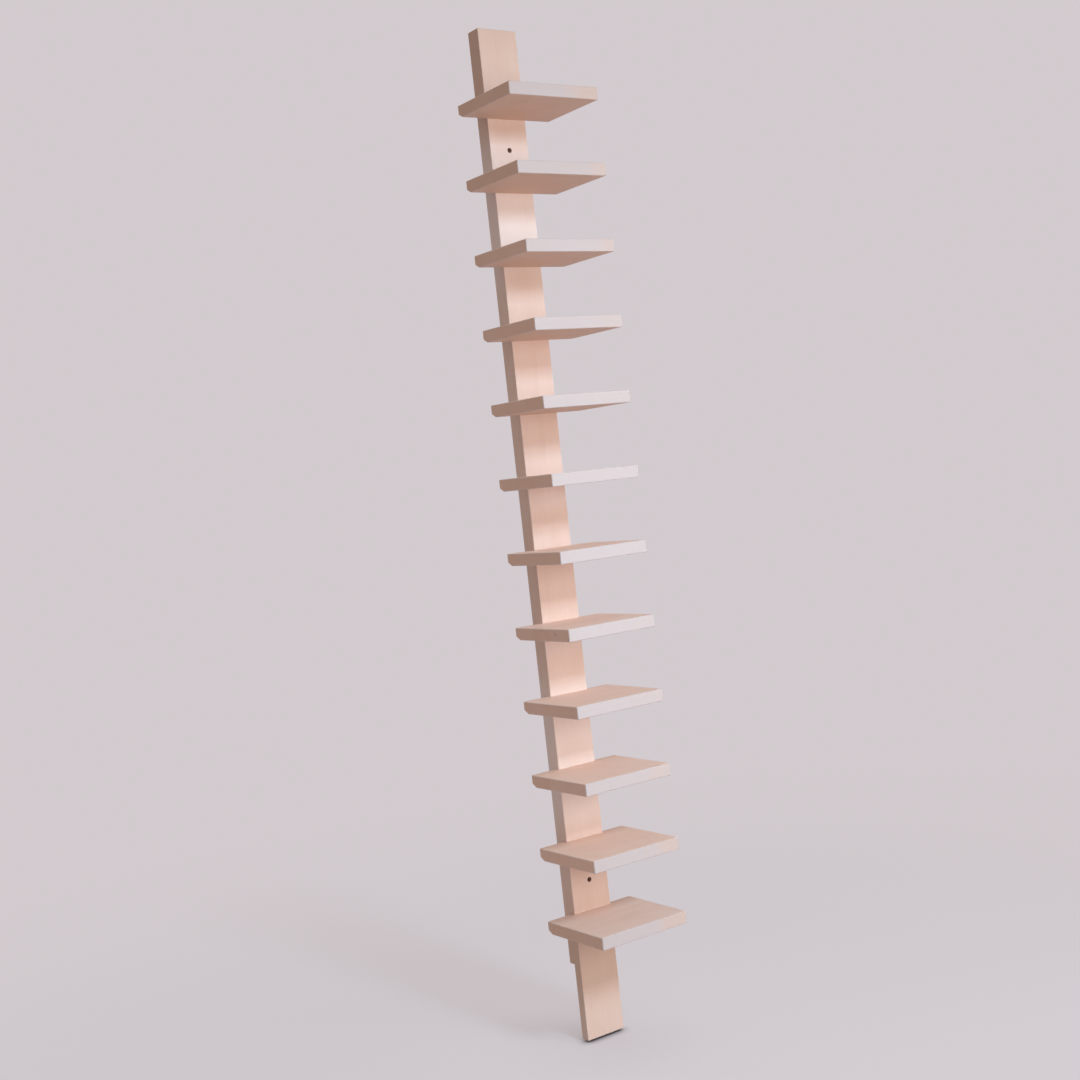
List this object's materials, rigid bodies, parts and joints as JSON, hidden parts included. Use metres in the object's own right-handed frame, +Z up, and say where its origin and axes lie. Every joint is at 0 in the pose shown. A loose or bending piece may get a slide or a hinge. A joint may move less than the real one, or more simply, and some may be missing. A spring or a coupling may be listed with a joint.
{
  "type": "spine bookshelf",
  "caption": "Tall narrow wall bookshelf: short wooden shelves housed in the front of one upright plank that is screwed flat to a wall.",
  "frame": {"origin": "on the wall plane, on the spine's centre line, midway between the two wall fixing holes", "axes": "+Z up along the spine, +Y into the wall, so the front faces -Y, and +X to the right as seen from the front"},
  "size_m": [0.205, 0.2, 2],
  "materials": {
    "wood": "pale maple-like solid wood, matt clear finish",
    "steel": "bright zinc-plated screw steel"
  },
  "bodies": {
    "root": {"spine": "wood", "shelf_01": "wood", "shelf_02": "wood", "shelf_03": "wood", "shelf_04": "wood", "shelf_05": "wood", "shelf_06": "wood", "shelf_07": "wood", "shelf_08": "wood", "shelf_09": "wood", "shelf_10": "wood", "shelf_11": "wood", "shelf_12": "wood", "shelf_screws": "steel"}
  },
  "joints": []
}
